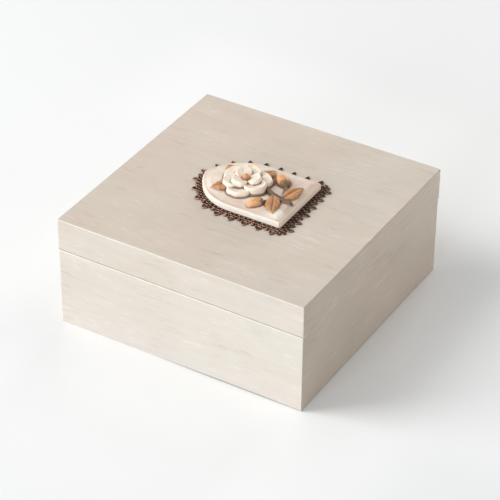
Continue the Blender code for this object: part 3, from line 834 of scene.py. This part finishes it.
def wall_loops(top):
    """Inset, foot groove, height and share of the wall's paint of each loop from the plaque's
    shoulder down to its underside. Two shallow grooves run along the foot's wall."""
    loops = []
    for step in range(1, EDGE_STEPS + 1):
        angle = math.pi / 2 * step / EDGE_STEPS
        inset = PLAQUE_EDGE_ROUND * (1 - math.sin(angle))
        z = top - PLAQUE_EDGE_ROUND * (1 - math.cos(angle))
        loops.append((inset, 0.0, z, step / EDGE_STEPS))
    wall_top = top - PLAQUE_EDGE_ROUND
    for step in range(1, WALL_STEPS + 1):
        z = wall_top + (PLAQUE_BOTTOM - wall_top) * step / WALL_STEPS
        groove = 0.6 * FOOT_GROOVE * (step in WALL_GROOVES)
        inset = UNDERSIDE_INSET * (step == WALL_STEPS)
        loops.append((inset, groove, z, 1.0))
    return loops


def band(first, second):
    """Faces between two closed rows of points."""
    return list(zip(first, (*first[1:], first[0]), (*second[1:], second[0]), second))


def build_plaque(material):
    """Plaque as a fine grid: columns from foot to point, rows across, then edge and wall loops."""
    unit = PLAQUE_WIDTH / CARVING_UNITS
    top = PLAQUE_BOTTOM + PLAQUE_EDGE_HEIGHT
    x, half = arch_columns(PLAQUE_EDGE_ROUND)
    rows = round(PLAQUE_WIDTH / GRID_STEP) // 2 * 2
    across = np.linspace(-1, 1, rows + 1)
    u = (PLAQUE_CENTRE_X - np.append(np.repeat(x[:-1], rows + 1), x[-1])) / unit
    v = np.append((half[:-1, None] * across).ravel(), 0.0) / unit
    height, weights, share = carving(u, v)
    hollow, crest = hollow_and_crest(u, v)
    top_x = PLAQUE_CENTRE_X - u * unit
    top_y = v * unit
    height = unit * height * smooth_step(room_on_top(top_x, top_y)[1] / unit)
    verts = [np.column_stack([top_x, top_y, top + ground_height(top_x, top_y) + height])]
    tip = len(u) - 1
    columns = len(x) - 1
    index = np.arange(tip).reshape(columns, rows + 1)
    faces = []
    for c in range(columns - 1):
        for r in range(rows):
            faces.append((index[c, r], index[c, r + 1], index[c + 1, r + 1], index[c + 1, r]))
    for r in range(rows):
        faces.append((index[-1, r], index[-1, r + 1], tip))
    previous = [*index[0, ::-1], *index[1:, 0], tip, *index[:0:-1, rows]]
    total = len(u)
    wall = [np.zeros(total)]
    for inset, groove, z, painted in wall_loops(top):
        points = rim_loop(inset, groove, across)
        count = len(points)
        wall.append(np.full(count, painted))
        verts.append(np.column_stack([points, np.full(count, z)]))
        current = range(total, total + count)
        total += count
        faces += band(previous, current)
        previous = current
    faces.append(previous[::-1])
    fields = {name: weights[name] for name in FORM_NAMES[1:]}
    fields.update({"hollow": hollow, "crest": crest, "share": share})
    below = np.zeros(total - len(u))
    fields = {name: np.append(values, below) for name, values in fields.items()}
    fields["wall"] = np.concatenate(wall)
    return add_piece("relief_plaque", np.concatenate(verts), faces, fields, material)


def add_object(name, data):
    made = bpy.data.objects.new(name, data)
    bpy.context.scene.collection.objects.link(made)
    return made


def add_piece(name, verts, faces, fields, material):
    """Smooth mesh whose fields, with one value per point, are there for its material."""
    mesh = bpy.data.meshes.new(name)
    mesh.from_pydata(verts.tolist(), [], [[int(k) for k in face] for face in faces])
    for field, values in fields.items():
        attribute = mesh.attributes.new(field, "FLOAT", "POINT")
        attribute.data.foreach_set("value", values.astype(np.float32))
    mesh.update()
    mesh.materials.append(material)
    mesh.shade_smooth()
    mesh.set_sharp_from_angle(angle=SHARP_ANGLE)
    return add_object(name, mesh)


def half_outline():
    """Runs of the plaque's outline from its foot's middle to its point, at -Y, each as its length
    along the trim and a function that gives the point and outward normal for a share of it."""
    radius, spring_x = arch_sizes()
    foot_x = PLAQUE_CENTRE_X + PLAQUE_LENGTH / 2
    tip_x = PLAQUE_CENTRE_X - PLAQUE_LENGTH / 2
    half_width = PLAQUE_WIDTH / 2
    corner_x = foot_x - PLAQUE_CORNER_ROUND
    corner_y = PLAQUE_CORNER_ROUND - half_width
    turn = math.acos((radius - half_width) / radius)
    quarter = math.pi / 2

    def foot(share):
        return (foot_x, corner_y * share), (1.0, 0.0)

    def corner(share):
        normal = (math.cos(quarter * share), -math.sin(quarter * share))
        x = corner_x + PLAQUE_CORNER_ROUND * normal[0]
        return (x, corner_y + PLAQUE_CORNER_ROUND * normal[1]), normal

    def side(share):
        return (corner_x + (spring_x - corner_x) * share, -half_width), (0.0, -1.0)

    def arc(share):
        normal = (-math.sin(turn * share), -math.cos(turn * share))
        point = (spring_x + radius * normal[0], radius - half_width + radius * normal[1])
        return point, normal

    def tip(share):
        angle = turn + (quarter - turn) * share
        return (tip_x, 0.0), (-math.sin(angle), -math.cos(angle))

    return [
        (-corner_y, foot),
        (quarter * (PLAQUE_CORNER_ROUND + TRIM_BAND), corner),
        (corner_x - spring_x, side),
        (turn * (radius + TRIM_BAND), arc),
        ((quarter - turn) * TRIM_BAND, tip),
    ]


TRIM_RUNS = half_outline()
TRIM_LENGTH = 2 * sum(length for length, _ in TRIM_RUNS)
PICOT_PLACES = [
    TRIM_LENGTH * (start + n * pitch) / 100 for start, count, pitch in PICOT_RUNS for n in range(count)
]


def value_at(travel, table):
    """Value that a table of places and values gives, this far along the trim."""
    places, values = zip(*table)
    return float(np.interp(100 * travel / TRIM_LENGTH, places, values, period=100))


def trim_point(travel, outset):
    """Point beside the plaque's outline, this far along the trim from the foot's middle."""
    outset *= value_at(travel, TRIM_REACH)
    travel = travel % TRIM_LENGTH
    mirror = travel > TRIM_LENGTH / 2
    left = TRIM_LENGTH - travel if mirror else travel
    for length, at in TRIM_RUNS:
        point, normal = at(min(left / length, 1.0))
        if left <= length:
            break
        left -= length
    x = point[0] + outset * normal[0]
    y = point[1] + outset * normal[1]
    return x, -y if mirror else y


def after_picots(number):
    """Travel along the trim after this many picots, which may be a fraction."""
    count = len(PICOT_PLACES)
    rounds = math.floor(number / count)
    places = [*PICOT_PLACES, PICOT_PLACES[0] + TRIM_LENGTH]
    return float(np.interp(number - rounds * count, range(count + 1), places)) + rounds * TRIM_LENGTH


class StrandMesh:
    """Collects swept strands and beads as one mesh."""

    def __init__(self):
        self.verts = []
        self.faces = []

    def sweep(self, path, half_width, half_height):
        """Sweeps an upright oval section along a closed path of (x, y, z) points."""
        path = np.array(path)
        forward = np.roll(path, -1, axis=0) - np.roll(path, 1, axis=0)
        forward[:, 2] = 0
        forward /= np.maximum(np.linalg.norm(forward, axis=1, keepdims=True), 1e-9)
        side = np.column_stack([-forward[:, 1], forward[:, 0], np.zeros(len(path))])
        first = len(self.verts)
        for centre, across in zip(path, side):
            for corner in range(STRAND_SIDES):
                angle = 2 * math.pi * (corner + 0.5) / STRAND_SIDES
                rise = np.array((0, 0, half_height * math.sin(angle)))
                self.verts.append(centre + half_width * math.cos(angle) * across + rise)
        count = len(path)
        for k in range(count):
            a = first + k * STRAND_SIDES
            b = first + (k + 1) % count * STRAND_SIDES
            for corner in range(STRAND_SIDES):
                n = (corner + 1) % STRAND_SIDES
                self.faces.append((a + corner, b + corner, b + n, a + n))

    def bead(self, centre, radius, height):
        """Round bead with flat poles."""
        sides = 10
        levels = 5
        first = len(self.verts)
        for level in range(levels):
            angle = math.pi * ((level + 0.5) / levels - 0.5)
            for corner in range(sides):
                turn = 2 * math.pi * corner / sides
                reach = radius * math.cos(angle)
                offset = (reach * math.cos(turn), reach * math.sin(turn), height * math.sin(angle))
                self.verts.append(np.array(centre) + offset)
        rings = [range(k, k + sides) for k in range(first, len(self.verts), sides)]
        for below, above in zip(rings, rings[1:]):
            self.faces += band(below, above)
        self.faces += [rings[0][::-1], rings[-1]]

    def plate(self, path, thickness):
        """Flat plate whose top face has the path as its outline."""
        first = len(self.verts)
        second = first + len(path)
        for drop in (0, thickness):
            self.verts += [np.array((x, y, z - drop)) for x, y, z in path]
        top = range(first, second)
        foot = range(second, len(self.verts))
        self.faces += [top[::-1], foot, *band(top, foot)]


def trim_path(points, z):
    return [(*trim_point(travel, outset), z) for travel, outset in points]


def oval_path(travel, outset, half_travel, half_outset):
    """Closed oval of a strand round this place beside the plaque."""
    angles = [2 * math.pi * k / LOOP_POINTS for k in range(LOOP_POINTS)]
    points = [
        (travel + half_travel * math.sin(a), outset + half_outset * math.cos(a)) for a in angles
    ]
    return trim_path(points, STRAND_MIDDLE_Z)


def picot_path(travel, z):
    """Loop that is widest near its root, with a blunt point outwards."""
    root, tip = PICOT_REACH
    half_width = PICOT_HALF_WIDTH * value_at(travel, PICOT_WIDTHS)
    side = []
    for k in range(PICOT_STEPS + 1):
        share = k / PICOT_STEPS
        width = half_width * math.sin(math.pi * share**0.62) ** 0.8
        side.append((width, root + (tip - root) * share))
    points = [(travel - width, outset) for width, outset in side]
    points += [(travel + width, outset) for width, outset in side[-2:0:-1]]
    return trim_path(points, z)


def build_lace(material):
    """Openwork border: two staggered rows of rings on a dark backing, beads where they meet, small
    loops, and picots round a low web."""
    lace = StrandMesh()
    size = (STRAND_HALF_WIDTH, STRAND_HALF_HEIGHT)
    steps = round(TRIM_LENGTH / MM)
    places = [TRIM_LENGTH * k / steps for k in range(steps)]
    backing = [(place, value_at(place, BACKING_MIDDLE) * MM) for place in places]
    lace.sweep(trim_path(backing, BACKING_Z), BACKING_HALF_WIDTH, BACKING_HALF_HEIGHT)
    picots = len(PICOT_PLACES)
    for number in range(picots * RINGS_PER_PICOT):
        for outset, shift in RING_ROWS:
            before = after_picots((number + shift - 0.5) / RINGS_PER_PICOT)
            after = after_picots((number + shift + 0.5) / RINGS_PER_PICOT)
            half_travel = (after - before) / 2 - RING_GAP
            middle = (before + after) / 2
            lace.sweep(oval_path(middle, outset, half_travel, RING_HALF_REACH), *size)
        bead_at = trim_point(after_picots((number + 0.25) / RINGS_PER_PICOT), BEAD_OUTSET)
        lace.bead((*bead_at, STRAND_MIDDLE_Z), BEAD_RADIUS, STRAND_HALF_HEIGHT)
    for number in range(picots):
        at_corner = number in CORNER_GAPS
        half_travel = CORNER_LOOP_HALF_TRAVEL if at_corner else LOOP_HALF_TRAVEL
        for share in CORNER_LOOP_SHARES if at_corner else (0.5,):
            middle = after_picots(number + share)
            outset = CORNER_LOOP_OUTSET if at_corner else value_at(middle, SMALL_LOOPS) * MM
            lace.sweep(oval_path(middle, outset, half_travel, LOOP_HALF_REACH), *size)
    band_count = len(lace.verts)
    for place in PICOT_PLACES:
        lace.sweep(picot_path(place, STRAND_MIDDLE_Z), PICOT_STRAND, STRAND_HALF_HEIGHT)
        lace.plate(picot_path(place, WEB_Z), WEB_THICKNESS)
    fields = {"picot": np.arange(len(lace.verts)) >= band_count}
    return add_piece("lace_border", np.array(lace.verts), lace.faces, fields, material)


def direction(azimuth, elevation):
    """Unit vector from the box, with azimuth 0 towards its front and -90 towards its left."""
    turn = math.radians(azimuth)
    rise = math.radians(elevation)
    return Vector((math.sin(turn) * math.cos(rise), -math.cos(turn) * math.cos(rise), math.sin(rise)))


def build_camera():
    back = direction(CAMERA_AZIMUTH, CAMERA_ELEVATION)
    data = bpy.data.cameras.new("camera")
    data.lens = CAMERA_LENS
    data.sensor_width = CAMERA_SENSOR
    data.clip_end = CAMERA_REACH
    camera = add_object("camera", data)
    camera.location = CAMERA_TARGET + CAMERA_DISTANCE * back
    turn = (-back).to_track_quat("-Z", "Y").to_matrix().to_4x4()
    roll = Matrix.Rotation(math.radians(CAMERA_ROLL), 4, "Z")
    camera.rotation_euler = (turn @ roll).to_euler()
    bpy.context.scene.camera = camera


def add_softbox(name, azimuth, elevation, height, power, colour):
    """Area light that faces the box from this direction."""
    data = bpy.data.lights.new(name, "AREA")
    data.shape = "RECTANGLE"
    data.size = SOFTBOX_WIDTH
    data.size_y = height
    data.energy = power
    data.color = colour
    lamp = add_object(name, data)
    back = direction(azimuth, elevation)
    lamp.location = SOFTBOX_TARGET + SOFTBOX_DISTANCE * back
    lamp.rotation_euler = back.to_track_quat("Z", "Y").to_euler()


def build_studio():
    scene = bpy.context.scene
    scene.view_settings.view_transform = "Standard"
    scene.view_settings.look = "None"
    world = bpy.data.worlds.new("studio")
    scene.world = world
    world.use_nodes = True
    backdrop = world.node_tree.nodes["Background"]
    backdrop.inputs["Color"].default_value = (1.0, 1.0, 1.0, 1.0)
    backdrop.inputs["Strength"].default_value = WORLD_STRENGTH
    for name, settings in SOFTBOXES.items():
        add_softbox(name, *settings)
    bpy.ops.mesh.primitive_plane_add(size=FLOOR_SIZE)
    floor = bpy.context.object
    floor.name = "floor"
    floor.data.materials.append(pale_floor())


def main():
    build_camera()
    for name in ("box_base", "box_lid"):
        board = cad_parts[name]
        low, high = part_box(name)
        seam_z = SEAM_Z if name == "box_lid" else SEAM_Z - SEAM_GAP
        board.data.materials.clear()
        board.data.materials.append(painted_board(name, low, high, seam_z))
    plaque = build_plaque(painted_cast())
    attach(plaque, "root")
    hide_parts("plaque")
    lace = build_lace(dark_bronze())
    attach(lace, "root")
    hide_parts("lace_trim")
    build_studio()


main()
